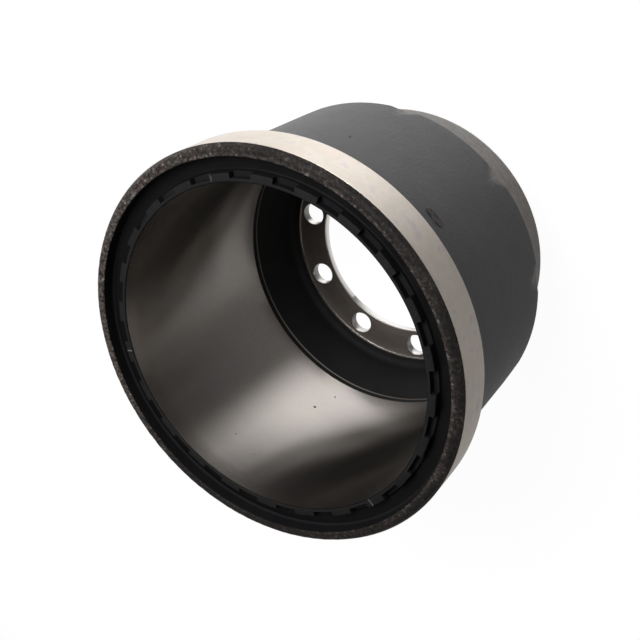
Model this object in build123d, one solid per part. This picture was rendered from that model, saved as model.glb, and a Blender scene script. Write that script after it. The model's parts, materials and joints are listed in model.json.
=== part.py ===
from build123d import *
import math
import os

# A brake drum for a trailer axle: one iron casting with turned surfaces.
# It stands on its closed end, the face that the wheel bolts against, with its mouth upwards.
# The origin is the middle of that face and +Z is the axis, towards the mouth.
# All sizes are millimetres.

# Braking surface
braking_diameter = 300.0
braking_length = 207.5

# Wheel flange, which the studs clamp between the hub and the wheel
bore_diameter = 192.0
bore_chamfer_inside = 0.8
bore_chamfer_outside = 2.5
bolt_count = 10
bolt_circle_diameter = 225.0
bolt_hole_diameter = 23.5
flange_thickness = 10.0
hub_face_margin = 15.75     # the turned inner face reaches this far outside the bolt circle
hub_face_recess = 3.0       # and lies this far below the cast floor
wheel_face_margin = 29.25   # the outer face reaches this far outside the bolt circle
wheel_face_chamfer = 3.0

# Cast cavity between the flange and the braking surface
cast_floor_ledge = 9.75     # from the hub face's edge to where the wall would meet the floor
cast_floor_fillet = 9.0
cavity_height = 50.8        # from the cast floor to the groove at the braking surface's end

# Run-out groove for the tool at the closed end of the braking surface
relief_width = 7.0
relief_depth = 1.0
relief_edge = 1.0           # turned edge on the groove's lower side

# Castellated ring at the mouth
castellations = 24
ring_web = 3.0              # wall left between a notch and the braking surface
notch_width = 5.0           # radial
notch_depth = 6.3
notch_share = 0.5           # of the pitch that is notch
ring_edge_chamfer = 0.8

# Groove and lip outside the ring
groove_width = 13.5
groove_depth = 8.5          # below the ring's face
lip_proud = 4.0             # the lip stands this far above the ring
lip_face_width = 6.0
lip_shoulder_width = 2.6    # the blunt cast corner of the lip falls in two slopes
lip_shoulder_drop = 1.5
lip_corner_width = 1.9
lip_corner_drop = 3.4

# Turned rim, whose diameter follows from the mouth's widths
rim_width = 37.1            # from the lip's corner to the back edge
rim_back_slope = 55.0       # degrees, of the cast slope from the rim down to the barrel

# Barrel, shoulder and hub cone
barrel_wall = 18.25         # outside the braking surface, at the rim
barrel_draft = 0.35         # degrees
shoulder_lead = 1.7         # the barrel ends this far above the braking surface's closed end
shoulder_drop = 6.5         # radial size of the sloping shoulder
shoulder_slope = 42.0       # degrees from the axis
shoulder_round = 5.0

# Flutes across the shoulder, one between each two bolts
flute_depth = 3.4           # below the barrel at the shoulder
flute_length = 23.0
flute_width = 32.0          # at the shoulder

# Cast pad on the barrel
pad_length = 21.0           # round the barrel
pad_width = 9.0             # along the axis
pad_proud = 0.8
pad_below_rim = 36.3        # from the rim's back edge to the middle of the pad
pad_angle = -125.5          # degrees round the axis from the first bolt

braking_radius = braking_diameter / 2
bolt_circle_radius = bolt_circle_diameter / 2
ring_radius = braking_radius + ring_web + notch_width
lip_bore_radius = ring_radius + groove_width
lip_face_radius = lip_bore_radius + lip_face_width
rim_radius = lip_face_radius + lip_shoulder_width + lip_corner_width
barrel_radius = braking_radius + barrel_wall
hub_face_radius = bolt_circle_radius + hub_face_margin
wheel_face_radius = bolt_circle_radius + wheel_face_margin

cast_floor = flange_thickness + hub_face_recess
relief_start = cast_floor + cavity_height
braking_start = relief_start + relief_edge + relief_width
ring_face = braking_start + braking_length
groove_floor = ring_face - groove_depth
lip_front = ring_face + lip_proud
rim_front = lip_front - lip_shoulder_drop - lip_corner_drop
rim_back = rim_front - rim_width
shoulder_height = braking_start + shoulder_lead
pad_height = rim_back - pad_below_rim
pitch = 360 / castellations


def barrel_radius_at(height):
    """Outer radius of the drafted barrel, which narrows towards the closed end."""
    return barrel_radius - (rim_back - height) * math.tan(math.radians(barrel_draft))


def outer_profile():
    """Corners of the outside, from the lip's front down to the wheel face."""
    rim_step = rim_radius - barrel_radius
    barrel_top = rim_back - rim_step / math.tan(math.radians(rim_back_slope))
    shoulder_radius = barrel_radius_at(shoulder_height)
    cone_top = shoulder_height - shoulder_drop / math.tan(math.radians(shoulder_slope))
    return [
        (lip_face_radius, lip_front),
        (lip_face_radius + lip_shoulder_width, lip_front - lip_shoulder_drop),
        (rim_radius, rim_front),
        (rim_radius, rim_back),
        (barrel_radius_at(barrel_top), barrel_top),
        (shoulder_radius, shoulder_height),
        (shoulder_radius - shoulder_drop, cone_top),
        (wheel_face_radius + wheel_face_chamfer, wheel_face_chamfer),
        (wheel_face_radius, 0),
    ]


def inner_profile():
    """Corners of the inside, from the bore up to the lip's front."""
    bore_radius = bore_diameter / 2
    relief_radius = braking_radius + relief_depth
    return [
        (bore_radius + bore_chamfer_outside, 0),
        (bore_radius, bore_chamfer_outside),
        (bore_radius, flange_thickness - bore_chamfer_inside),
        (bore_radius + bore_chamfer_inside, flange_thickness),
        (hub_face_radius, flange_thickness),
        (hub_face_radius, cast_floor),
        (hub_face_radius + cast_floor_ledge, cast_floor),
        (braking_radius, relief_start),
        (relief_radius, relief_start + relief_edge),
        (relief_radius, braking_start - relief_depth),
        (braking_radius, braking_start),
        (braking_radius, ring_face - ring_edge_chamfer),
        (braking_radius + ring_edge_chamfer, ring_face),
        (ring_radius, ring_face),
        (ring_radius, groove_floor),
        (lip_bore_radius, groove_floor),
        (lip_bore_radius, lip_front),
    ]


def round_corner(face, radius, height, size):
    """The section with the corner nearest to a radius and height rounded."""
    place = Vector(radius, 0, height)
    corner = min(face.vertices(), key=lambda v: (Vector(v.X, v.Y, v.Z) - place).length)
    return fillet(corner, size)


def section_face(points):
    """A flat face in the XZ plane from its corners, given as radius and height."""
    return make_face(Polyline(*[(radius, 0, height) for radius, height in points], close=True))


def turned_body():
    """The casting before its holes, notches and flutes: one section turned about the axis."""
    outer = outer_profile()
    inner = inner_profile()
    section = section_face(outer + inner)
    for (radius, height), size in [
        (outer[5], shoulder_round),
        (inner[6], cast_floor_fillet),
    ]:
        section = round_corner(section, radius, height, size)
    return revolve(section, Axis.Z)


def castellation_notches():
    """The pockets cut in the ring's face, open to the groove on their outer side."""
    inside = braking_radius + ring_web
    outside = ring_radius + groove_width / 2
    bottom = ring_face - notch_depth
    corners = [(inside, bottom), (outside, bottom), (outside, lip_front), (inside, lip_front)]
    arc = pitch * notch_share
    notch = Rot(0, 0, -arc / 2) * revolve(section_face(corners), Axis.Z, arc)
    return [Rot(0, 0, pitch * n) * notch for n in range(castellations)]


def flute_cutters():
    """The shallow V cuts that run out in the barrel, midway between the bolts."""
    shoulder_radius = barrel_radius_at(shoulder_height)
    tip_height = shoulder_height + flute_length
    tip_radius = barrel_radius_at(tip_height)
    fall = (tip_radius - shoulder_radius + flute_depth) / flute_length
    half_width = flute_width / 2
    curvature_drop = shoulder_radius - math.sqrt(shoulder_radius**2 - half_width**2)
    side_slope = (flute_depth - curvature_drop) / half_width
    reach = 2 * flute_width
    vee = make_face(
        Polyline(
            (0, 0),
            (reach * side_slope, -reach),
            (reach, -reach),
            (reach, reach),
            (reach * side_slope, reach),
            close=True,
        )
    )
    # The valley line passes through the tip and nears the axis on its way down.
    start = Vector(tip_radius + fall * flute_length, 0, tip_height + flute_length)
    valley = Plane(origin=start, x_dir=Vector(1, 0, -fall), z_dir=Vector(-fall, 0, -1))
    flute = extrude(valley * vee, 3 * flute_length)
    half_pitch = 180 / bolt_count
    return [Rot(0, 0, half_pitch * (2 * n + 1)) * flute for n in range(bolt_count)]


def bolt_holes():
    """Through holes for the wheel studs."""
    hole = Cylinder(bolt_hole_diameter / 2, 3 * flange_thickness)
    return [place * hole for place in PolarLocations(bolt_circle_radius, bolt_count)]


def cast_pad():
    """The raised slot-shaped pad on the barrel, from the middle of the wall outwards."""
    wall_middle = (braking_radius + barrel_radius) / 2
    pad_radius = barrel_radius_at(pad_height) + pad_proud
    outline = Plane.YZ * SlotOverall(pad_length, pad_width)
    bar = extrude(Pos(wall_middle, 0, pad_height) * outline, pad_radius, dir=(1, 0, 0))
    face = Pos(0, 0, pad_height) * Cylinder(pad_radius, 2 * pad_width)
    return Rot(0, 0, pad_angle) * (bar & face)


os.makedirs("parts", exist_ok=True)

drum = turned_body()
drum -= castellation_notches()
drum -= flute_cutters()
drum -= bolt_holes()
drum += cast_pad()

export_step(drum, "parts/brake_drum.step")
print("height", lip_front, "rim", 2 * rim_radius, "volume", round(drum.volume), "valid", drum.is_valid)
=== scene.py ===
# %% [markdown]
# # A brake drum for a trailer axle
# The real part is one grey iron casting. It is poured in sand, painted black, and then turned
# on a lathe where something fits or rubs: the rim, the braking surface, the hub face and the bore.
# So it has two kinds of surface, dull black cast skin and bare turned iron, and this lesson makes
# both. The drum stands on its closed end, the mouth faces up, and the Z axis is its axis.

import json
import math

import bmesh
import bpy
from mathutils import Matrix, Vector, noise

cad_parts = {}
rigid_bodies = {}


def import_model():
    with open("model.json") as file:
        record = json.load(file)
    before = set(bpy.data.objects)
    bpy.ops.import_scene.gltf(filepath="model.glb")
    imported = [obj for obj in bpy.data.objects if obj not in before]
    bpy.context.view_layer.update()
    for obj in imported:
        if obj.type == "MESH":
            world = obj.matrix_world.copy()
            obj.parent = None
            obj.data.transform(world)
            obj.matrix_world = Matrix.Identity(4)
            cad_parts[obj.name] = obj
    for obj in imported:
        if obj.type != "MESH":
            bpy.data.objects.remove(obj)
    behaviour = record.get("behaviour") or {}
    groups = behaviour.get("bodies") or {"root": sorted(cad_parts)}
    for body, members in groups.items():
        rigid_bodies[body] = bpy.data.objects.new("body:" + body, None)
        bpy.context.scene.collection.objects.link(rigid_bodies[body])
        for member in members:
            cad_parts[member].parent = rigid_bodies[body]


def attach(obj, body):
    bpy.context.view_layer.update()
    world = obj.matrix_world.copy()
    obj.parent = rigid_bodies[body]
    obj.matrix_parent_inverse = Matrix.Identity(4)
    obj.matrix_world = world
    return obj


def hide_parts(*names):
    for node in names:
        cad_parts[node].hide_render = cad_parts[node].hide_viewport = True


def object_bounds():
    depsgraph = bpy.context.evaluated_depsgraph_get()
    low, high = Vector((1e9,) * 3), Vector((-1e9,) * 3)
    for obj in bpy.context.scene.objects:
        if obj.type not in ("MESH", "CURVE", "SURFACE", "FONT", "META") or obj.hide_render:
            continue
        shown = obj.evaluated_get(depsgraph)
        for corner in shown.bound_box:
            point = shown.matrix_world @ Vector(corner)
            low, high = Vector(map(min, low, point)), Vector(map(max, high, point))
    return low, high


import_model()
cad_low, cad_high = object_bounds()
MM = 0.001
drum_height = cad_high[2] - cad_low[2]
print("CAD box in mm:", [round(side / MM, 1) for side in Vector(cad_high) - Vector(cad_low)])

# %% [markdown]
# ## Camera
# The photograph looks into the mouth from about 50 degrees above the drum's base plane, and the
# picture is rolled, because the real drum lay on its side. Here the drum stands, so the roll goes
# into the camera: it is aimed first and then turned about its own line of sight.

# %% Place the camera
camera_azimuth = math.radians(-127.2)
camera_radius = 575.4 * MM
camera_height = 885.8 * MM
camera_aim = Vector((-4.4, 3.3, 192.9)) * MM
camera_roll = math.radians(-127.7)
focal_length = 55.77
sensor_width = 36

camera_data = bpy.data.cameras.new("camera")
camera_data.lens = focal_length
camera_data.sensor_width = sensor_width
camera = bpy.data.objects.new("camera", camera_data)
bpy.context.scene.collection.objects.link(camera)
camera_place = Vector(
    (camera_radius * math.cos(camera_azimuth), camera_radius * math.sin(camera_azimuth), camera_height)
)
look = (camera_aim - camera_place).to_track_quat("-Z", "Y").to_matrix().to_4x4()
camera.matrix_world = Matrix.Translation(camera_place) @ look @ Matrix.Rotation(camera_roll, 4, "Z")
bpy.context.scene.camera = camera
print("camera stands", round((camera_place - camera_aim).length, 3), "m from its aim")

# %% [markdown]
# ## Sizes
# These are the sizes of the CAD part. Radii are measured from the Z axis and heights from the floor.

# %% Sizes in millimetres
braking_radius = 150.0
flange_thickness = 10.0
cast_floor = 13.0
braking_start = 71.8
ring_face = 279.3
lip_front = 283.3
rim_radius = 182.0
rim_back = 241.3
rim_back_slope = math.tan(math.radians(55))
lip_bore_radius = 171.5
lip_face_radius = 177.5
lip_shoulder_radius = 180.1
lip_shoulder = 281.8
lip_corner = 278.4
ring_radius = 158.0
notch_inner_radius = 153.0
notch_depth = 6.3
groove_floor = 270.8
barrel_radius = 168.25
barrel_taper = math.tan(math.radians(0.35))
shoulder_height = 73.5
shoulder_drop = 6.5
shoulder_slope = math.tan(math.radians(42))
wheel_face_radius = 144.75
wheel_face_chamfer = 3.0
hub_face_radius = 128.25
cast_floor_radius = 138.0
relief_width = 7.0
relief_depth = 1.0
relief_edge = 1.0
ring_chamfer = 0.8
bore_radius = 96.0
bore_chamfer_inside = 0.8
bore_chamfer_outside = 2.5


def barrel_at(height):
    """Outer radius of the barrel, which narrows a little towards the closed end."""
    return barrel_radius - (rim_back - height) * barrel_taper


rim_foot = rim_back - (rim_radius - barrel_radius) / rim_back_slope
shoulder_radius = barrel_at(shoulder_height)
cone_top = shoulder_height - shoulder_drop / shoulder_slope
relief_end = braking_start - relief_width
print("the cast section is", round(shoulder_radius - braking_radius, 1), "mm thick at the shoulder")

# %% [markdown]
# ## Finishes
# Every finish below starts from what the metal is and how its surface was made. Colours are
# written as the hex values that a screen shows, and one function makes them linear for the shader.
# A second small function adds a node with its settings and links, so each finish reads as a recipe.
# Every pattern's scale is one over a real size, and noise mostly lies between 0.3 and 0.7, so the
# finishes stretch that range.

# %% Helpers for materials
NOISE_LOW = 0.3
NOISE_HIGH = 0.7


def linear(hex_colour):
    """A linear RGBA colour from an sRGB hex string."""
    channels = [int(hex_colour[i : i + 2], 16) / 255 for i in (1, 3, 5)]
    return [c / 12.92 if c <= 0.04045 else ((c + 0.055) / 1.055) ** 2.4 for c in channels] + [1.0]


def set_stops(color_ramp, stops):
    """Fills a colour ramp; each stop is a position and a hex colour or a grey level."""
    while len(color_ramp.elements) < len(stops):
        color_ramp.elements.new(0.5)
    for element, (position, colour) in zip(color_ramp.elements, stops):
        element.position = position
        element.color = linear(colour) if isinstance(colour, str) else [colour, colour, colour, 1]


def add(tree, kind, settings=None, **inputs):
    """Adds a node; inputs are named after its sockets and hold a value or another node's socket."""
    made = tree.nodes.new(kind)
    for name, value in (settings or {}).items():
        if name == "stops":
            set_stops(made.color_ramp, value)
        else:
            setattr(made, name, value)
    for name, value in inputs.items():
        key = int(name[1:]) if name[0] == "_" and name[1:].isdigit() else name.replace("_", " ")
        if isinstance(value, bpy.types.NodeSocket):
            tree.links.new(value, made.inputs[key])
        else:
            made.inputs[key].default_value = value
    return made


def new_finish(name):
    """An empty material with its shader and output, and the tree to fill."""
    finish = bpy.data.materials.new(name)
    finish.use_nodes = True
    tree = finish.node_tree
    shader = tree.nodes["Principled BSDF"]
    return finish, tree, shader


def scale_for(size_mm):
    """The scale of a pattern whose features have a real size."""
    return 1 / (size_mm * MM)


def axis_distance(tree, place):
    """How far a point lies from the drum's axis."""
    flat = add(tree, "ShaderNodeVectorMath", {"operation": "MULTIPLY"}, _0=place, _1=(1, 1, 0))
    length = add(tree, "ShaderNodeVectorMath", {"operation": "LENGTH"}, _0=flat.outputs["Vector"])
    return length.outputs["Value"]


print("#808080 is", round(linear("#808080")[0], 3), "in linear light")

# %% [markdown]
# ### Black paint on cast iron
# The cast skin keeps the grain of the moulding sand, about 1 mm across, under a thin satin paint.
# It could be a flat black, but then it would look like plastic. Two noises give it the sand's grain
# and slow waves, and the paint's roughness changes a little with them, which breaks up its sheen. The
# paint is black inside, a little faded on the barrel, and lighter and warmer on the cone towards the
# wheel.

# %% Make the painted iron


def painted_iron(
    name, colour, dusty_colour, roughness, grain_mm=1.3, lumps=0.3, specular=0.5, mottle=0.3
):
    """Cast iron under thin satin paint, from a darker to a dustier colour."""
    wave_mm = 22
    bump_height = 0.4 * MM
    smoother = 0.06
    rougher = 0.08
    finish, tree, shader = new_finish(name)
    place = add(tree, "ShaderNodeTexCoord").outputs["Object"]
    grain = add(
        tree, "ShaderNodeTexNoise", Vector=place, Scale=scale_for(grain_mm), Detail=3.0
    ).outputs["Fac"]
    waves = add(
        tree, "ShaderNodeTexNoise", Vector=place, Scale=scale_for(wave_mm), Detail=2.0
    ).outputs["Fac"]
    tone = add(
        tree, "ShaderNodeValToRGB", {"stops": [(0.35, colour), (0.75, dusty_colour)]}, Fac=waves
    )
    specks = [(NOISE_LOW, 1.0 - mottle), (NOISE_HIGH, 1.0)]
    speck = add(tree, "ShaderNodeValToRGB", {"stops": specks}, Fac=grain)
    colour_mix = add(
        tree,
        "ShaderNodeMix",
        {"data_type": "RGBA", "blend_type": "MULTIPLY"},
        _0=1.0,
        _6=tone.outputs["Color"],
        _7=speck.outputs["Color"],
    )
    tree.links.new(colour_mix.outputs[2], shader.inputs["Base Color"])
    sheen = add(
        tree,
        "ShaderNodeMapRange",
        _0=grain,
        _1=NOISE_LOW,
        _2=NOISE_HIGH,
        _3=roughness - smoother,
        _4=roughness + rougher,
    )
    tree.links.new(sheen.outputs["Result"], shader.inputs["Roughness"])
    height = add(tree, "ShaderNodeMath", {"operation": "ADD"}, _0=grain, _1=waves)
    bump = add(
        tree, "ShaderNodeBump", Height=height.outputs["Value"], Strength=lumps, Distance=bump_height
    )
    tree.links.new(bump.outputs["Normal"], shader.inputs["Normal"])
    shader.inputs["Specular IOR Level"].default_value = specular
    return finish


# Inside the drum the paint is as new and dull, so it stays dark beside the bare metal.
inside_paint = painted_iron("painted_cast_iron", "#1b1b1c", "#212021", 0.66, specular=0.3)
# The groove and the pores are painted darker than the other black paint: painted shade in these
# hollows.
groove_shade_paint = painted_iron("groove_paint_with_painted_shade", "#0f0f11", "#151416", 0.6, specular=0.25)
# The walls beside the groove and the notches are painted lighter than its floor: painted light that
# lifts the shadow they stand in.
shade_lifted_wall_paint = painted_iron("wall_paint_with_painted_light", "#27272a", "#2d2d2f", 0.68, specular=0.2)
# The ring's top is handled more, so its paint is smoother and shines a little, over coarser lumps.
ring_paint = painted_iron("worn_ring_paint", "#1a1819", "#242221", 0.56, grain_mm=2.2, lumps=1.0)
# Dust fills the pits of the rough pad, and makes it light and spotty.
pad_paint = painted_iron(
    "rough_pad_paint", "#6f6a69", "#9a938d", 0.6, grain_mm=3.0, lumps=0.8, mottle=0.75
)
dark_paints = (inside_paint, groove_shade_paint, shade_lifted_wall_paint, ring_paint, pad_paint)
print("made", [paint.name for paint in dark_paints])

# %% [markdown]
# Outside, the barrel is a little faded, and all that lies deeper than the barrel is lighter and warmer:
# the cone towards the wheel and the hollows of the flutes. The finish works out how deep a point lies
# from its own place on the part, so the lighter colour thins out softly at the edge of the barrel.

# %% Make the outside paint


def outside_paint(name):
    """Faded paint on the barrel, lighter and warmer on all that lies deeper than the barrel."""
    ragged_edge = 1.6 * MM
    ragged_mm = 5
    deep_tone_mm = 7
    lighter_starts = 1.3 * MM
    lighter_covers = 3.2 * MM
    finish = painted_iron(name, "#535155", "#5c5a5c", 0.5, 2.8, lumps=0.9, specular=1.0, mottle=0.42)
    tree = finish.node_tree
    shader = tree.nodes["Principled BSDF"]
    place = add(tree, "ShaderNodeTexCoord").outputs["Object"]
    barrel = add(
        tree,
        "ShaderNodeMapRange",
        _0=add(tree, "ShaderNodeSeparateXYZ", Vector=place).outputs["Z"],
        _1=0.0,
        _2=rim_back * MM,
        _3=barrel_at(0) * MM,
        _4=barrel_radius * MM,
    )
    depth = add(
        tree,
        "ShaderNodeMath",
        {"operation": "SUBTRACT"},
        _0=barrel.outputs["Result"],
        _1=axis_distance(tree, place),
    )
    edge_noise = add(tree, "ShaderNodeTexNoise", Vector=place, Scale=scale_for(ragged_mm), Detail=3.0)
    ragged = add(
        tree,
        "ShaderNodeMath",
        {"operation": "MULTIPLY_ADD"},
        _0=edge_noise.outputs["Fac"],
        _1=ragged_edge,
        _2=depth.outputs["Value"],
    )
    # Share of the lighter, warmer colour, from how far a point lies deeper than the barrel.
    deeper_share = add(
        tree,
        "ShaderNodeMapRange",
        {"interpolation_type": "SMOOTHSTEP"},
        _0=ragged.outputs["Value"],
        _1=lighter_starts,
        _2=lighter_covers,
    )
    paint_tone = shader.inputs["Base Color"].links[0].from_socket
    # The lighter, warmer colour for all that lies deeper than the barrel.
    deep_tone_noise = add(tree, "ShaderNodeTexNoise", Vector=place, Scale=scale_for(deep_tone_mm), Detail=3.0)
    deep_tone = add(
        tree,
        "ShaderNodeValToRGB",
        {"stops": [(NOISE_LOW, "#6e6660"), (NOISE_HIGH, "#948a80")]},
        Fac=deep_tone_noise.outputs["Fac"],
    )
    mixed = add(
        tree,
        "ShaderNodeMix",
        {"data_type": "RGBA"},
        _0=deeper_share.outputs["Result"],
        _6=paint_tone,
        _7=deep_tone.outputs["Color"],
    )
    tree.links.new(mixed.outputs[2], shader.inputs["Base Color"])
    return finish


barrel_paint = outside_paint("faded_barrel_paint")
print("made", barrel_paint.name)

# %% [markdown]
# ### The scuffed lip
# The lip stands proud of everything else, so it is what the drum is rolled and set down on. Its
# paint is worn to a fine grey speckle over one side, and it stays dark elsewhere. The same speckle
# along its inner corner, on the key light's side, is a painted highlight on that rounded edge. It
# could be one even grey, but then the lip would look turned. Here the speckle is laid over the paint
# by how far a point lies towards the worn side, which fades it out round the lip.

# %% Make the scuffed lip


def scuffed_paint(name):
    """Dark paint with a bare speckle worn through on one side, and a painted highlight on its inner
    corner.
    """
    worst_angle = math.radians(-6)
    scuffs_start = 45 * MM
    scuffs_cover = 145 * MM
    # The inner corner's speckle is a painted highlight: it lies on the key light's side of the lip.
    corner_highlight_full = (lip_bore_radius + 1.8) * MM
    corner_highlight_ends = (lip_bore_radius + 4.6) * MM
    least_wear = 0.14
    patch_wear = 0.16
    corner_highlight_level = 0.5
    highlight_side_full = 20 * MM
    highlight_side_gone = 130 * MM
    speckle_mm = 3.0
    hue_mm = 14
    patch_mm = 30
    finish = painted_iron(name, "#232020", "#2d2826", 0.6, grain_mm=2.0, lumps=1.0, specular=0.3)
    tree = finish.node_tree
    shader = tree.nodes["Principled BSDF"]
    place = add(tree, "ShaderNodeTexCoord").outputs["Object"]
    speckle = add(
        tree,
        "ShaderNodeTexNoise",
        Vector=place,
        Scale=scale_for(speckle_mm),
        Detail=5.0,
        Roughness=0.75,
    )
    greys = [(0.36, "#26211f"), (0.47, "#4f4846"), (0.58, "#756d69"), (0.7, "#d8d2cc")]
    worn_grey = add(tree, "ShaderNodeValToRGB", {"stops": greys}, Fac=speckle.outputs["Fac"])
    hue_noise = add(tree, "ShaderNodeTexNoise", Vector=place, Scale=scale_for(hue_mm), Detail=3.0)
    tint = add(
        tree,
        "ShaderNodeValToRGB",
        {"stops": [(0.35, "#fff2ef"), (0.65, "#f2faf4")]},
        Fac=hue_noise.outputs["Fac"],
    )
    scuffed = add(
        tree,
        "ShaderNodeMix",
        {"data_type": "RGBA", "blend_type": "MULTIPLY"},
        _0=1.0,
        _6=worn_grey.outputs["Color"],
        _7=tint.outputs["Color"],
    )
    towards = add(
        tree,
        "ShaderNodeVectorMath",
        {"operation": "DOT_PRODUCT"},
        _0=place,
        _1=(math.cos(worst_angle), math.sin(worst_angle), 0),
    )
    worn_side = add(
        tree,
        "ShaderNodeMapRange",
        {"interpolation_type": "SMOOTHSTEP"},
        _0=towards.outputs["Value"],
        _1=scuffs_start,
        _2=scuffs_cover,
        _3=least_wear,
        _4=1.0,
    )
    patch_noise = add(tree, "ShaderNodeTexNoise", Vector=place, Scale=scale_for(patch_mm), Detail=2.0)
    patches = add(
        tree,
        "ShaderNodeValToRGB",
        {"stops": [(0.44, 0.0), (0.64, patch_wear)]},
        Fac=patch_noise.outputs["Fac"],
    )
    # Painted highlight along the inner corner, fading out away from the key light's side.
    inner_corner_highlight = add(
        tree,
        "ShaderNodeMapRange",
        {"interpolation_type": "SMOOTHSTEP"},
        _0=axis_distance(tree, place),
        _1=corner_highlight_full,
        _2=corner_highlight_ends,
        _3=corner_highlight_level,
        _4=0.0,
    )
    highlight_side = add(
        tree,
        "ShaderNodeMapRange",
        {"interpolation_type": "SMOOTHSTEP"},
        _0=add(tree, "ShaderNodeSeparateXYZ", Vector=place).outputs["Y"],
        _1=highlight_side_full,
        _2=highlight_side_gone,
        _3=1.0,
        _4=0.0,
    )
    corner_highlight = add(
        tree,
        "ShaderNodeMath",
        {"operation": "MULTIPLY"},
        _0=inner_corner_highlight.outputs["Result"],
        _1=highlight_side.outputs["Result"],
    )
    # Wear on one side and in patches, plus the painted highlight along the inner corner.
    worn = patches.outputs["Color"]
    for more in (worn_side.outputs["Result"], corner_highlight.outputs["Value"]):
        worn = add(
            tree, "ShaderNodeMath", {"operation": "ADD", "use_clamp": True}, _0=worn, _1=more
        ).outputs["Value"]
    paint_tone = shader.inputs["Base Color"].links[0].from_socket
    mixed = add(
        tree,
        "ShaderNodeMix",
        {"data_type": "RGBA"},
        _0=worn,
        _6=paint_tone,
        _7=scuffed.outputs[2],
    )
    tree.links.new(mixed.outputs[2], shader.inputs["Base Color"])
    return finish


lip_finish = scuffed_paint("scuffed_cast_lip")
print("made", lip_finish.name)

# %% [markdown]
# ### Turned iron
# A lathe tool leaves fine rings. They are too fine to see singly in the picture, but together they
# spread each highlight across the rings, as on a record. The shader's anisotropy does that, and a
# noise that changes fast across the rings and slowly along them draws the few coarser rings.
# A tool that moves along the axis leaves rings at different heights, one that moves inwards leaves
# rings at different radii, so the same recipe takes either one.

# %% Make the turned finishes


def turned_iron(name, colours, roughness, across, anisotropy, ring_mm, contrast, patch_mm=45):
    """Bare turned metal with rings across the height or the radius."""
    along_mm = 120
    tool_mark = 0.1 * MM
    mark_share = 0.3
    quarter_turn = 0.25
    sheen_change = contrast / 8
    finish, tree, shader = new_finish(name)
    place = add(tree, "ShaderNodeTexCoord").outputs["Object"]
    if across == "radius":
        parts = add(tree, "ShaderNodeSeparateXYZ", Vector=place).outputs
        place = add(
            tree, "ShaderNodeCombineXYZ", X=parts["X"], Y=parts["Y"], Z=axis_distance(tree, place)
        ).outputs["Vector"]
    scale = (scale_for(along_mm), scale_for(along_mm), scale_for(ring_mm))
    stretched = add(tree, "ShaderNodeMapping", Vector=place, Scale=scale)
    rings = add(
        tree, "ShaderNodeTexNoise", Vector=stretched.outputs["Vector"], Scale=1.0, Detail=2.0
    ).outputs["Fac"]
    patches = add(tree, "ShaderNodeTexNoise", Vector=place, Scale=scale_for(patch_mm), Detail=3.0)
    step = (NOISE_HIGH - NOISE_LOW) / (len(colours) - 1)
    tints = [(NOISE_LOW + step * i, colour) for i, colour in enumerate(colours)]
    tint = add(tree, "ShaderNodeValToRGB", {"stops": tints}, Fac=patches.outputs["Fac"])
    shades = [(NOISE_LOW, 1.0 - contrast), (NOISE_HIGH, 1.0)]
    shade = add(tree, "ShaderNodeValToRGB", {"stops": shades}, Fac=rings)
    colour_mix = add(
        tree,
        "ShaderNodeMix",
        {"data_type": "RGBA", "blend_type": "MULTIPLY"},
        _0=1.0,
        _6=tint.outputs["Color"],
        _7=shade.outputs["Color"],
    )
    tree.links.new(colour_mix.outputs[2], shader.inputs["Base Color"])
    rough = add(
        tree,
        "ShaderNodeMapRange",
        _0=rings,
        _1=NOISE_LOW,
        _2=NOISE_HIGH,
        _3=roughness + sheen_change,
        _4=roughness - sheen_change,
    )
    tree.links.new(rough.outputs["Result"], shader.inputs["Roughness"])
    bump = add(tree, "ShaderNodeBump", Height=rings, Strength=contrast * mark_share, Distance=tool_mark)
    tree.links.new(bump.outputs["Normal"], shader.inputs["Normal"])
    shader.inputs["Metallic"].default_value = 1.0
    shader.inputs["Anisotropic"].default_value = anisotropy
    shader.inputs["Anisotropic Rotation"].default_value = quarter_turn
    tangent = add(tree, "ShaderNodeTangent", {"direction_type": "RADIAL", "axis": "Z"})
    tree.links.new(tangent.outputs["Tangent"], shader.inputs["Tangent"])
    return finish


# The rim is freshly turned and nearly white, with warm and cool patches where hands have been.
rim_finish = turned_iron(
    "turned_rim",
    ["#fff0e6", "#f8efe2", "#fff4e9", "#f0e6e3"],
    roughness=0.36,
    across="height",
    anisotropy=0.95,
    ring_mm=2.5,
    contrast=0.035,
    patch_mm=16,
)
# The braking surface is bored finest, so it mirrors best and its rings hardly show.
braking_finish = turned_iron(
    "turned_braking_surface",
    ["#c9c2be", "#cac4bd", "#c7c0be"],
    roughness=0.27,
    across="height",
    anisotropy=0.9,
    ring_mm=1.6,
    contrast=0.025,
)
# The hub face is rough turned and dull, with rings that follow the radius.
hub_finish = turned_iron(
    "turned_hub_face",
    ["#7d7670", "#87807a"],
    roughness=0.62,
    across="radius",
    anisotropy=0.2,
    ring_mm=1.4,
    contrast=0.15,
)
# The bore, the stud holes and the nicks show clean metal.
drilled_finish = turned_iron(
    "drilled_iron",
    ["#d9d6d2", "#e4e2de"],
    roughness=0.3,
    across="height",
    anisotropy=0.7,
    ring_mm=1.4,
    contrast=0.15,
)
bare_metals = (rim_finish, braking_finish, hub_finish, drilled_finish)
print("made", [metal.name for metal in bare_metals])

# %% [markdown]
# ## The casting's section
# Everything on the drum but its holes, notches and flutes is round, so its shape is one closed
# section turned about the axis. The section is a list of corners. Each corner has a radius and a
# height, the size of its rounding, and the finish of the stretch that follows it. Real edges are
# never quite sharp, and the small roundings on the turned edges catch the thin bright lines.

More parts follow.
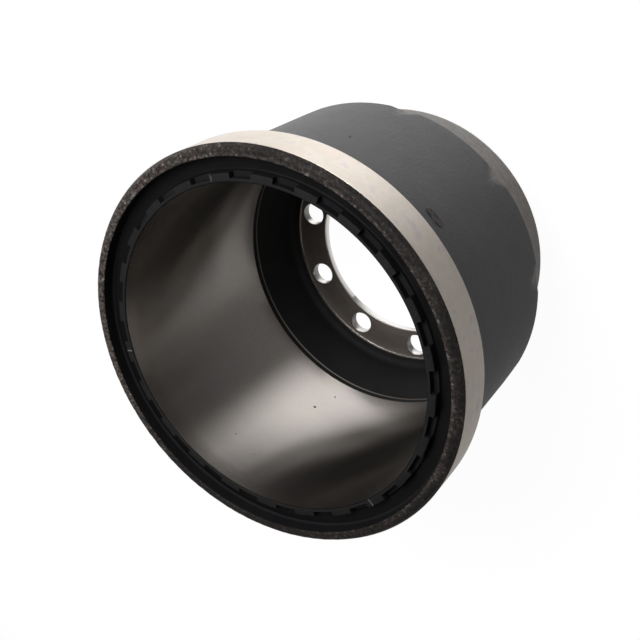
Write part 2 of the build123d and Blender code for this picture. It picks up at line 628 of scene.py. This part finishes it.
# %% Corners of the section
corners = [
    # radius, height, rounding, finish of the next stretch, longest step
    (lip_face_radius, lip_front, 2.0, "lip", 1.3),
    (lip_shoulder_radius, lip_shoulder, 2.0, "lip", 1.3),
    (rim_radius, lip_corner, 0.5, "rim", 20),
    (rim_radius, rim_back, 0.6, "barrel", 20),
    (barrel_at(rim_foot), rim_foot, 8.0, "barrel", 12),
    (shoulder_radius, shoulder_height, 5.0, "barrel", 12),
    (shoulder_radius - shoulder_drop, cone_top, 1.5, "barrel", 12),
    (wheel_face_radius, wheel_face_chamfer, 0.5, "barrel", 12),
    (wheel_face_radius - wheel_face_chamfer, 0, 0.3, "hub", 12),
    (bore_radius + bore_chamfer_outside, 0, 0.2, "drilled", 5),
    (bore_radius, bore_chamfer_outside, 0.2, "drilled", 5),
    (bore_radius, flange_thickness - bore_chamfer_inside, 0.2, "drilled", 5),
    (bore_radius + bore_chamfer_inside, flange_thickness, 0.1, "hub", 12),
    (hub_face_radius, flange_thickness, 0.4, "drilled", 5),
    (hub_face_radius, cast_floor, 0.4, "paint", 5),
    (cast_floor_radius, cast_floor, 9.0, "paint", 12),
    (braking_radius, relief_end - relief_edge, 0.3, "hub", 5),
    (braking_radius + relief_depth, relief_end, 0.2, "paint", 5),
    (braking_radius + relief_depth, braking_start - relief_depth, 0.2, "braking", 5),
    (braking_radius, braking_start, 0.3, "braking", 20),
    (braking_radius, ring_face - ring_chamfer, 0.2, "groove", 5),
    (braking_radius + ring_chamfer, ring_face, 0.3, "ring", 2.5),
    (ring_radius, ring_face, 0.5, "wall", 5),
    (ring_radius, groove_floor, 2.0, "groove", 5),
    (lip_bore_radius, groove_floor, 2.0, "wall", 5),
    (lip_bore_radius, lip_front, 1.2, "lip", 1.3),
]
FINISHES = {
    "paint": inside_paint,
    "barrel": barrel_paint,
    "ring": ring_paint,
    "groove": groove_shade_paint,
    "wall": shade_lifted_wall_paint,
    "lip": lip_finish,
    "rim": rim_finish,
    "braking": braking_finish,
    "hub": hub_finish,
    "drilled": drilled_finish,
}
LARGE_ROUNDING = 1.0
FINE_TURN = 12
COARSE_TURN = 35


def rounded_corner(before, corner, after, size):
    """Points of the arc that rounds a corner, from the stretch before it to the one after."""
    to_before = (before - corner).normalized()
    to_after = (after - corner).normalized()
    half_angle = to_before.angle(to_after) / 2
    reach = size / math.tan(half_angle)
    centre = corner + (to_before + to_after).normalized() * size / math.sin(half_angle)
    start = corner + to_before * reach - centre
    end = corner + to_after * reach - centre
    turn = start.angle_signed(end)
    step_angle = math.radians(FINE_TURN if size > LARGE_ROUNDING else COARSE_TURN)
    steps = max(2, math.ceil(abs(turn) / step_angle))
    return [centre + Matrix.Rotation(-turn * i / steps, 2) @ start for i in range(steps + 1)]


def section_outline(corners):
    """Points of the section and, for each, the finish of the stretch that leaves it."""
    outline = []
    count = len(corners)
    for i, (radius, height, size, finish, step) in enumerate(corners):
        before, here, after = (Vector(corners[(i + k) % count][:2]) for k in (-1, 0, 1))
        arc = rounded_corner(before, here, after, size)
        outline += [(point, finish) for point in arc]
        next_size = corners[(i + 1) % count][2]
        after_next = Vector(corners[(i + 2) % count][:2])
        target = rounded_corner(here, after, after_next, next_size)[0]
        pieces = max(1, math.ceil((target - arc[-1]).length / step))
        outline += [(arc[-1].lerp(target, k / pieces), finish) for k in range(1, pieces)]
    return outline


outline = section_outline(corners)
print("the section has", len(outline), "points")

# %% [markdown]
# ## Turning a section into a solid
# Blender has a Screw modifier and a Spin operator for this. A few lines of mesh code are as short,
# and they can give each stretch of the section its own finish as the faces are made. The same
# function makes the cutters for the notches and the holes, as whole turns or as a short arc.

# %% Lathe function
MERGE_DISTANCE = 0.001 * MM


def lathe(name, outline, steps, arc=math.tau):
    """A closed solid from a section; a section on the axis or a short arc is closed too."""
    names = sorted({finish for point, finish in outline})
    mesh = bpy.data.meshes.new(name)
    for finish in names:
        mesh.materials.append(FINISHES[finish])
    whole = arc == math.tau
    shape = bmesh.new()
    angles = [-arc / 2 + arc * k / steps for k in range(steps if whole else steps + 1)]
    rows = [
        [
            shape.verts.new((p.x * MM * math.cos(a), p.x * MM * math.sin(a), p.y * MM))
            for p, finish in outline
        ]
        for a in angles
    ]
    size = len(outline)
    for k in range(steps):
        row, following = rows[k], rows[(k + 1) % len(rows)]
        for i in range(size):
            j = (i + 1) % size
            face = shape.faces.new((row[i], following[i], following[j], row[j]))
            face.material_index = names.index(outline[i][1])
            face.smooth = True
    if not whole:
        shape.faces.new(rows[0])
        shape.faces.new(rows[-1])
    bmesh.ops.remove_doubles(shape, verts=shape.verts[:], dist=MERGE_DISTANCE)
    bmesh.ops.recalc_face_normals(shape, faces=shape.faces[:])
    shape.to_mesh(mesh)
    shape.free()
    made = bpy.data.objects.new(name, mesh)
    bpy.context.scene.collection.objects.link(made)
    return made


turning_steps = 576
drum = lathe("drum_casting", outline, turning_steps)
print("turned body:", len(drum.data.polygons), "faces")

# %% [markdown]
# ## Notches, flutes and holes
# These three repeat round the axis. One Geometry Nodes tree serves them all: it turns a cutter about
# the axis as often as asked, takes the copies out of the body and marks the new edges as sharp.
# A boolean is right here, because the real notches and holes are cut or cored out of a round body too.

# %% The tree that cuts round the axis


def cutting_tree(name, operation):
    """A tree that turns a cutter about the axis, then cuts the copies out or joins them on."""
    tree = bpy.data.node_groups.new(name, "GeometryNodeTree")
    face = tree.interface
    face.new_socket("Geometry", in_out="INPUT", socket_type="NodeSocketGeometry")
    face.new_socket("Cutter", in_out="INPUT", socket_type="NodeSocketObject")
    face.new_socket("Count", in_out="INPUT", socket_type="NodeSocketInt")
    face.new_socket("First Angle", in_out="INPUT", socket_type="NodeSocketFloat")
    face.new_socket("Cut Finish", in_out="INPUT", socket_type="NodeSocketMaterial")
    face.new_socket("Geometry", in_out="OUTPUT", socket_type="NodeSocketGeometry")
    given = tree.nodes.new("NodeGroupInput").outputs
    cutter = add(tree, "GeometryNodeObjectInfo", Object=given["Cutter"])
    marked = add(
        tree,
        "GeometryNodeStoreNamedAttribute",
        {"data_type": "BOOLEAN", "domain": "FACE"},
        Geometry=cutter.outputs["Geometry"],
        Name="cut",
        Value=True,
    )
    points = add(tree, "GeometryNodePoints", Count=given["Count"])
    index = tree.nodes.new("GeometryNodeInputIndex").outputs["Index"]
    pitch = add(tree, "ShaderNodeMath", {"operation": "DIVIDE"}, _0=math.tau, _1=given["Count"])
    turned = add(
        tree,
        "ShaderNodeMath",
        {"operation": "MULTIPLY_ADD"},
        _0=index,
        _1=pitch.outputs["Value"],
        _2=given["First Angle"],
    )
    rotation = add(tree, "ShaderNodeCombineXYZ", Z=turned.outputs["Value"])
    copies = add(
        tree,
        "GeometryNodeInstanceOnPoints",
        Points=points.outputs["Geometry"],
        Instance=marked.outputs["Geometry"],
        Rotation=rotation.outputs["Vector"],
    )
    cut = add(
        tree,
        "GeometryNodeMeshBoolean",
        {"operation": operation, "solver": "MANIFOLD"},
        Mesh_2=copies.outputs["Instances"],
    )
    body_socket = "Mesh 1" if operation == "DIFFERENCE" else "Mesh 2"
    tree.links.new(given["Geometry"], cut.inputs[body_socket])
    edges = add(
        tree,
        "GeometryNodeSetShadeSmooth",
        {"domain": "EDGE"},
        Geometry=cut.outputs["Mesh"],
        Selection=cut.outputs["Intersecting Edges"],
        Shade_Smooth=False,
    )
    plain = add(tree, "GeometryNodeRealizeInstances", Geometry=edges.outputs["Geometry"])
    was_cut = add(
        tree, "GeometryNodeInputNamedAttribute", {"data_type": "BOOLEAN"}, Name="cut"
    )
    finished = add(
        tree,
        "GeometryNodeSetMaterial",
        Geometry=plain.outputs["Geometry"],
        Selection=was_cut.outputs["Attribute"],
        Material=given["Cut Finish"],
    )
    clean = add(tree, "GeometryNodeRemoveAttribute", Geometry=finished.outputs["Geometry"], Name="cut")
    result = tree.nodes.new("NodeGroupOutput")
    tree.links.new(clean.outputs["Geometry"], result.inputs["Geometry"])
    return tree


def cut_round(body, label, cutter, count, first_angle, finish, tree=None):
    """Adds the tree to a body as a modifier, with its inputs set by their identifiers."""
    modifier = body.modifiers.new(label, "NODES")
    modifier.node_group = tree or CUTTING
    items = modifier.node_group.interface.items_tree
    sockets = {s.name: s.identifier for s in items if s.in_out == "INPUT"}
    modifier[sockets["Cutter"]] = cutter
    modifier[sockets["Count"]] = count
    modifier[sockets["First Angle"]] = first_angle
    modifier[sockets["Cut Finish"]] = finish


CUTTING = cutting_tree("cut_round_the_axis", "DIFFERENCE")
JOINING = cutting_tree("join_round_the_axis", "UNION")
print("each tree has", len(CUTTING.nodes), "nodes")

# %% [markdown]
# The castellations are 24 cored pockets in the ring's face, open to the groove outside them.
# Their cutter is a short arc of a square section, so its inner wall follows the ring.

# %% Notches of the castellated ring
notch_count = 24
notch_arc = math.tau / notch_count / 2
notch_bottom = ring_face - notch_depth
above_lip = lip_front + 1.0
notch_outer_radius = (ring_radius + lip_bore_radius) / 2
notch_section = [
    (Vector((notch_inner_radius, notch_bottom)), "wall"),
    (Vector((notch_outer_radius, notch_bottom)), "wall"),
    (Vector((notch_outer_radius, above_lip)), "wall"),
    (Vector((notch_inner_radius, above_lip)), "wall"),
]
notch_cutter = lathe("notch_cutter", notch_section, steps=8, arc=notch_arc)
# The notches take the lightened wall paint, painted light in their shadow.
cut_round(drum, "notches", notch_cutter, notch_count, 0.0, shade_lifted_wall_paint)
print("notches are", round(math.degrees(notch_arc), 2), "degrees wide")

# %% [markdown]
# The stud holes are drilled. Their cutter is a turned pin that widens at both faces, which leaves
# the small chamfer a drill hand puts on every hole.

# %% Stud holes
stud_count = 10
bolt_circle_radius = 112.5
hole_radius = 11.75
hole_chamfer = 0.5
overrun = 3.0
hole_section = [
    (Vector((0, -overrun)), "drilled"),
    (Vector((hole_radius + hole_chamfer + overrun, -overrun)), "drilled"),
    (Vector((hole_radius, hole_chamfer)), "drilled"),
    (Vector((hole_radius, flange_thickness - hole_chamfer)), "drilled"),
    (Vector((hole_radius + hole_chamfer + overrun, flange_thickness + overrun)), "drilled"),
    (Vector((0, flange_thickness + overrun)), "drilled"),
]
hole_cutter = lathe("hole_cutter", hole_section, steps=64)
hole_cutter.data.transform(Matrix.Translation((bolt_circle_radius * MM, 0, 0)))
cut_round(drum, "stud_holes", hole_cutter, stud_count, 0.0, drilled_finish)
print(stud_count, "holes on a circle of", 2 * bolt_circle_radius, "mm")

# %% [markdown]
# The flutes are shallow V cuts across the shoulder, midway between the studs. Their valley line
# starts on the barrel and falls towards the axis, so each flute is a triangle that runs out upwards.

# %% Flutes of the shoulder
flute_depth = 3.4
flute_length = 23.0
flute_width = 32.0


def add_object(name, shape, finish):
    """An object of one finish from a shape whose faces may still point either way."""
    bmesh.ops.recalc_face_normals(shape, faces=shape.faces[:])
    mesh = bpy.data.meshes.new(name)
    mesh.materials.append(finish)
    shape.to_mesh(mesh)
    shape.free()
    made = bpy.data.objects.new(name, mesh)
    bpy.context.scene.collection.objects.link(made)
    return made


def flute_prism():
    """A long bar with a V for its inner side, which lies along a flute's valley line."""
    tip_height = shoulder_height + flute_length
    tip_radius = barrel_at(tip_height)
    fall = (tip_radius - shoulder_radius + flute_depth) / flute_length
    half_width = flute_width / 2
    curvature_drop = shoulder_radius - math.sqrt(shoulder_radius**2 - half_width**2)
    side_slope = (flute_depth - curvature_drop) / half_width
    reach = 2 * flute_width
    side = reach * side_slope
    vee = [(0, 0), (side, -reach), (reach, -reach), (reach, reach), (side, reach)]
    shape = bmesh.new()
    rows = []
    for height in (tip_height + flute_length, tip_height - 2 * flute_length):
        valley = tip_radius + (height - tip_height) * fall
        rows.append([shape.verts.new(((valley + x) * MM, y * MM, height * MM)) for x, y in vee])
    shape.faces.new(rows[0])
    shape.faces.new(rows[1])
    for i in range(len(vee)):
        j = (i + 1) % len(vee)
        shape.faces.new((rows[0][i], rows[0][j], rows[1][j], rows[1][i]))
    return add_object("flute_cutter", shape, barrel_paint)


flute_cutter = flute_prism()
cut_round(drum, "flutes", flute_cutter, stud_count, math.pi / stud_count, barrel_paint)
print("flutes run", flute_length, "mm up the barrel")

# %% [markdown]
# ## The pad and the marks of use
# One rough oval pad stands on the barrel, a place for a casting mark with nothing on it. Its rim is
# higher than its middle. The braking surface has five small pores, which a fresh cut opens up in
# cast iron, the barrel has one small chip, and three blows have nicked the ring down to the metal.
# They are cut as shapes and not painted on, so they hold a shadow from every side. The pores are also
# painted with the groove's darker paint, which paints shade into them.

# %% Pad, pores, chip and nicks
pad_angle = math.radians(-125.5)
pad_height = 205.0
pad_length = 21.0
pad_width = 9.0
pad_proud = 0.8
pad_foot_radius = 160.0
pad_sink = 0.05
pad_lumps = 0.6
pad_lump_size = 1.6


def pad_point(shape, along, up, rise):
    """A point of the pad; its rise is a share of the pad's height, or None for its foot."""
    height = pad_height + up
    angle = along / barrel_radius
    radius = pad_foot_radius
    if rise is not None:
        lump = pad_lumps * noise.noise(Vector((along, up, 0)) / pad_lump_size)
        radius = barrel_at(height) + pad_proud * rise * (1 + lump) - pad_sink
        radius = min(radius, barrel_at(height) + pad_proud)
    x, y = radius * MM * math.cos(angle), radius * MM * math.sin(angle)
    return shape.verts.new((x, y, height * MM))


def rough_pad():
    """Rings of points from a foot inside the wall, over the pad's rim, to its middle."""
    around = 48
    wobble_share = 0.05
    wobble_waves = 2.5
    straight = (pad_length - pad_width) / 2
    # share of the pad's outline, share of its height
    foot_and_rim = [(1.0, None), (0.99, 0.0), (0.95, 0.7), (0.86, 0.95)]
    hollow = [(0.76, 0.7), (0.66, 0.2), (0.4, 0.1), (0.2, 0.2)]
    middle_rise = 0.4
    shape = bmesh.new()
    rows = []
    for scale, rise in foot_and_rim + hollow:
        row = []
        for k in range(around):
            a = math.tau * (k + 0.5) / around
            wobble = noise.noise(Vector((math.cos(a), math.sin(a), 3)) * wobble_waves)
            edge = scale * (1 - wobble_share + wobble_share * wobble)
            along = pad_width / 2 * math.cos(a) + math.copysign(straight, math.cos(a))
            row.append(pad_point(shape, along * edge, pad_width / 2 * math.sin(a) * edge, rise))
        rows.append(row)
    foot = pad_point(shape, 0, 0, None)
    top = pad_point(shape, 0, 0, middle_rise)
    for k in range(around):
        j = (k + 1) % around
        for lower, upper in zip(rows, rows[1:]):
            shape.faces.new((lower[k], lower[j], upper[j], upper[k]))
        shape.faces.new((rows[0][k], rows[0][j], foot))
        shape.faces.new((rows[-1][k], rows[-1][j], top))
    return add_object("pad", shape, pad_paint)


def at_angle(degrees, radius, height):
    """The place of a mark, from its angle round the axis, its radius and its height."""
    return Matrix.Rotation(math.radians(degrees), 4, "Z") @ Matrix.Translation(
        (radius * MM, 0, height * MM)
    )


def ball_cutter(name, balls, finish):
    """Balls whose middles lie in the surface and leave round pits."""
    shape = bmesh.new()
    for degrees, radius, height, size in balls:
        bmesh.ops.create_icosphere(
            shape, subdivisions=2, radius=size * MM, matrix=at_angle(degrees, radius, height)
        )
    return add_object(name, shape, finish)


def nick_cutter(name, nicks, finish):
    """Square bars on edge, which lie across the ring and leave V-shaped nicks."""
    shape = bmesh.new()
    for degrees, radius, length, side in nicks:
        on_edge = Matrix.Rotation(math.radians(45), 4, "X") @ Matrix.Diagonal(
            (length * MM, side * MM, side * MM, 1)
        )
        bmesh.ops.create_cube(shape, size=1, matrix=at_angle(degrees, radius, ring_face) @ on_edge)
    return add_object(name, shape, finish)


pad = rough_pad()
cut_round(drum, "pad", pad, 1, pad_angle, pad_paint, JOINING)
pore_middle = braking_radius + 0.1
# angle in degrees, radius and height of the ball's middle, size of the ball
pore_places = [
    (82.9, pore_middle, 129.1, 1.5),
    (85.6, pore_middle, 98.8, 1.1),
    (70.1, pore_middle, 227.6, 0.8),
    (91.5, pore_middle, 179.9, 0.8),
    (80.6, pore_middle, 234.4, 0.8),
]
# The pores take the groove's darkest paint, painted shade inside them.
pores = ball_cutter("pore_cutter", pore_places, groove_shade_paint)
cut_round(drum, "pores", pores, 1, 0.0, groove_shade_paint)
chip_height = 179.0
chip_size = 3.0
chip_depth = 0.4
chip_rise = 0.1
chip_middle = barrel_at(chip_height) + chip_size - chip_depth
chip_ball = (-90.2, chip_middle, chip_height + chip_rise, chip_size)
chip = ball_cutter("chip_cutter", [chip_ball], ring_paint)
cut_round(drum, "chip", chip, 1, 0.0, ring_paint)
# angle in degrees, radius, length, side of the bar
nick_places = [(22.2, 155.2, 7.0, 1.1), (-64.2, 155.0, 6.0, 1.0), (140.7, 154.6, 8.0, 1.1)]
nicks = nick_cutter("nick_cutter", nick_places, drilled_finish)
cut_round(drum, "nicks", nicks, 1, 0.0, drilled_finish)
print("pad, pores, chip and nicks added")

# %% [markdown]
# The modifiers are now turned into one plain mesh, and the cutters are thrown away. Edges that
# meet at more than 30 degrees are made sharp, and the ones that the cuts made already are.

# %% Make the casting a plain mesh


def bake_modifiers(body):
    """Puts the evaluated mesh in place of the modifiers."""
    bpy.context.view_layer.update()
    seen = body.evaluated_get(bpy.context.evaluated_depsgraph_get())
    plain = bpy.data.meshes.new_from_object(seen)
    body.modifiers.clear()
    body.data = plain
    return plain


sharp_angle = math.radians(30)
casting = bake_modifiers(drum)
for cutter in (notch_cutter, hole_cutter, flute_cutter, pad, pores, chip, nicks):
    bpy.data.objects.remove(cutter)
casting.name = "drum_casting"
casting.set_sharp_from_angle(angle=sharp_angle)
print("casting:", len(casting.vertices), "points,", len(casting.polygons), "faces")
print("finishes:", [m.name for m in casting.materials])

# %% [markdown]
# The lip and the teeth of the ring keep their skin from the sand mould, so they are uneven. Their
# points are pushed in by a third of a millimetre or so, and never out, so the piece stays within the
# CAD part's size.

# %% Rough the cast lip and the teeth


def lumps_at(place, size_mm):
    """Between 0 and 1, and different every few millimetres."""
    swing = 0.6
    evenness = 0.9
    times_finer = 2.2
    layers = 3
    lump = noise.fractal(place / (size_mm * MM), evenness, times_finer, layers)
    return min(1.0, max(0.0, 0.5 + swing * lump))


lip_roughness = 0.38
tooth_side_roughness = 0.5
tooth_top_roughness = 0.35
lump_size = 5
tooth_inside = notch_inner_radius + 0.5
tooth_outside = ring_radius + 0.2
tooth_foot = groove_floor + 1.5
tooth_top = ring_face - 1

lip_index = list(casting.materials).index(lip_finish)
lip_faces = [face for face in casting.polygons if face.material_index == lip_index]
lip_points = {v for face in lip_faces for v in face.vertices}
moves = {v: -casting.vertices[v].normal * (lip_roughness * MM) for v in lip_points}
for v, vertex in enumerate(casting.vertices):
    radius = math.hypot(vertex.co.x, vertex.co.y) / MM
    height = vertex.co.z / MM
    if tooth_inside < radius < tooth_outside and height > tooth_foot:
        inwards = Vector((-vertex.co.x, -vertex.co.y, 0)).normalized()
        down = Vector((0, 0, -tooth_top_roughness if height > tooth_top else 0))
        moves[v] = (tooth_side_roughness * inwards + down) * MM
for v, move in moves.items():
    casting.vertices[v].co += move * lumps_at(casting.vertices[v].co, lump_size)
casting.update()
print("roughened", len(moves), "points")

# %% [markdown]
# The piece stands for the whole CAD node, and rides on the drum's one body.

# %% Tell the frame about the piece
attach(drum, "root")
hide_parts("brake_drum")
print("pieces:", [drum.name])

# %% [markdown]
# ## Floor and light
# The photograph has a plain white ground. The floor is white paper that glows for the camera and
# for reflections, and it also scatters its own light, so the drum leaves a soft shadow on it.
# Bare metal is a mirror for its surroundings, and in an all white room it would look flat. So a
# photographer sets up dark and light cards for the metal to mirror, and this scene does the same.

# %% White floor and world
floor_half_width = 4.0


def sheet(name, points, height, finish):
    """A flat piece of the studio, from the corners of its outline."""
    mesh = bpy.data.meshes.new(name)
    mesh.from_pydata([(x, y, height) for x, y in points], [], [tuple(range(len(points)))])
    mesh.materials.append(finish)
    made = bpy.data.objects.new(name, mesh)
    bpy.context.scene.collection.objects.link(made)
    return made


def square(half):
    """Outline of a square about the drum's axis."""
    return [(-half, -half), (half, -half), (half, half), (-half, half)]


def shown_white(tree):
    """1 for the rays that should meet plain white: from the camera, reflected or let through."""
    paths = add(tree, "ShaderNodeLightPath").outputs
    seen = paths["Is Camera Ray"]
    for kind in ("Is Glossy Ray", "Is Transmission Ray"):
        seen = add(
            tree, "ShaderNodeMath", {"operation": "ADD", "use_clamp": True}, _0=seen, _1=paths[kind]
        ).outputs["Value"]
    return seen


def white_paper():
    """Plain white where it is seen, and paper that takes a shadow where it only scatters light."""
    paper_glow = 0.96
    finish, tree, shader = new_finish("white_paper")
    tree.nodes.remove(shader)
    paper = add(tree, "ShaderNodeBsdfDiffuse", Color=linear("#e8e8e8"))
    faint = add(tree, "ShaderNodeBsdfDiffuse", Color=linear("#6a6a6a"))
    glow = add(tree, "ShaderNodeEmission", Color=(1, 1, 1, 1), Strength=paper_glow)
    shown = add(tree, "ShaderNodeAddShader", _0=faint.outputs["BSDF"], _1=glow.outputs["Emission"])
    mix = add(
        tree,
        "ShaderNodeMixShader",
        _0=shown_white(tree),
        _1=paper.outputs["BSDF"],
        _2=shown.outputs["Shader"],
    )
    tree.links.new(mix.outputs["Shader"], tree.nodes["Material Output"].inputs["Surface"])
    return finish


def white_world(ambient):
    """White where it is seen, and a faint even light everywhere else."""
    world = bpy.data.worlds.new("studio")
    world.use_nodes = True
    tree = world.node_tree
    level = add(tree, "ShaderNodeMapRange", _0=shown_white(tree), _3=ambient, _4=1.0)
    ground = tree.nodes["Background"]
    ground.inputs["Color"].default_value = (1, 1, 1, 1)
    tree.links.new(level.outputs["Result"], ground.inputs["Strength"])
    bpy.context.scene.world = world


sheet("studio_floor", square(floor_half_width), 0, white_paper())
white_world(ambient=0.05)
print("floor and world made")

# %% [markdown]
# The drum in the photograph lies on its side, so its barrel and its bore look out at a far studio
# that is bright on one side and dark on the other. Here the drum stands on the floor, so two cards
# on the floor play that studio: a small one under the drum for what the bore mirrors, and a large
# one for the barrel. They are seen only in reflections, and their brightness depends on the direction
# of the ray that meets them, as a far wall's would. Light that has already gone from metal to metal
# counts half, or the bore would fill up with it. A white crescent under the flange brightens the
# wall of the pilot bore, and a black card overhead keeps the white world out of the metal.

# %% Cards for the reflections
SECOND_REFLECTION = 0.5


def far_wall(name, dark, *bright_sides):
    """Glows with the ray's direction; a bright side has an azimuth, a half width and a level."""
    finish, tree, shader = new_finish(name)
    tree.nodes.remove(shader)
    incoming = add(tree, "ShaderNodeNewGeometry").outputs["Incoming"]
    level = add(tree, "ShaderNodeVectorMath", {"operation": "MULTIPLY"}, _0=incoming, _1=(-1, -1, 0))
    heading = add(tree, "ShaderNodeVectorMath", {"operation": "NORMALIZE"}, _0=level.outputs["Vector"])
    strength = dark
    for azimuth, half_width, bright in bright_sides:
        turned = add(
            tree,
            "ShaderNodeVectorMath",
            {"operation": "DOT_PRODUCT"},
            _0=heading.outputs["Vector"],
            _1=(math.cos(math.radians(azimuth)), math.sin(math.radians(azimuth)), 0),
        )
        side = add(
            tree,
            "ShaderNodeMapRange",
            {"interpolation_type": "SMOOTHSTEP"},
            _0=turned.outputs["Value"],
            _1=math.cos(math.radians(half_width)),
            _2=1.0,
            _4=bright,
        )
        strength = add(
            tree, "ShaderNodeMath", {"operation": "ADD"}, _0=side.outputs["Result"], _1=strength
        ).outputs["Value"]
    reflections = add(tree, "ShaderNodeLightPath").outputs["Glossy Depth"]
    kept = add(
        tree, "ShaderNodeMapRange", _0=reflections, _1=1.0, _2=2.0, _3=1.0, _4=SECOND_REFLECTION
    )
    strength = add(
        tree, "ShaderNodeMath", {"operation": "MULTIPLY"}, _0=strength, _1=kept.outputs["Result"]
    ).outputs["Value"]
    glow = add(tree, "ShaderNodeEmission", Color=(1, 1, 1, 1), Strength=strength)
    tree.links.new(glow.outputs["Emission"], tree.nodes["Material Output"].inputs["Surface"])
    return finish


def card(name, points, height, finish):
    """A sheet that only reflections see."""
    made = sheet(name, points, height, finish)
    made.visible_camera = False
    made.visible_diffuse = False
    made.visible_transmission = False
    made.visible_shadow = False


def round_outline(radius, steps=64):
    """Outline of a disc on the drum's axis."""
    angles = [math.tau * k / steps for k in range(steps)]
    return [(radius * math.cos(a), radius * math.sin(a)) for a in angles]


def crescent(inner, outer, start, end, steps=32):
    """Outline of a part of a ring, between two azimuths in degrees."""
    angles = [math.radians(start + (end - start) * k / steps) for k in range(steps + 1)]
    near = [(inner * math.cos(a), inner * math.sin(a)) for a in angles]
    return near + [(outer * math.cos(a), outer * math.sin(a)) for a in reversed(angles)]


floor_card_radius = 3.0
floor_card_height = 0.4 * MM
bore_card_radius = 120 * MM
bore_card_height = 0.8 * MM
crescent_shape = crescent(87.5 * MM, 99 * MM, -60, 58)
crescent_height = 1.0 * MM
ceiling_half_width = 400.0
ceiling_height = 2.6
# level of the dark side, then the azimuth, half width and level of each bright side
bore_wall = far_wall("far_wall_through_bore", 0.14, (299, 58, 1.45), (166, 26, 0.13))
floor_wall = far_wall("far_wall_outside", 0.27, (347, 155, 0.85))
white_card = far_wall("white_card", 0.95)
black_card, _, black_shader = new_finish("black_ceiling")
black_shader.inputs["Base Color"].default_value = linear("#0a0a0a")
card("bore_card", round_outline(bore_card_radius), bore_card_height, bore_wall)
card("bore_crescent", crescent_shape, crescent_height, white_card)
card("floor_card", round_outline(floor_card_radius), floor_card_height, floor_wall)
card("ceiling_card", square(ceiling_half_width), ceiling_height, black_card)
print("four cards placed")

# %% [markdown]
# The key light is a large softbox beyond the top of the picture, above the drum. It lights the top
# of the barrel and the front of the lip. A weak one on the picture's left lights the rim's left
# side and the wall that faces it, and another weak one lifts the shadows at the lower left.

# %% Softboxes


def softbox(name, azimuth, elevation, distance, size, power):
    """An area light that looks at the middle of the drum."""
    light = bpy.data.lights.new(name, "AREA")
    light.shape = "SQUARE"
    light.size = size
    light.energy = power
    lamp = bpy.data.objects.new(name, light)
    bpy.context.scene.collection.objects.link(lamp)
    a, e = math.radians(azimuth), math.radians(elevation)
    away = Vector((math.cos(a) * math.cos(e), math.sin(a) * math.cos(e), math.sin(e)))
    aim = Vector((0, 0, drum_height / 2))
    lamp.matrix_world = Matrix.Translation(aim + away * distance) @ away.to_track_quat(
        "Z", "Y"
    ).to_matrix().to_4x4()


softbox("key_softbox", azimuth=287, elevation=58, distance=1.6, size=0.8, power=12)
softbox("left_softbox", azimuth=20, elevation=25, distance=1.6, size=0.7, power=0.8)
softbox("fill_softbox", azimuth=58, elevation=56, distance=1.6, size=0.7, power=1.5)
print("three softboxes placed")

# %% [markdown]
# ## Output
# Colours leave the scene as they are, with no film look.

# %% Output settings
bpy.context.scene.view_settings.view_transform = "Standard"
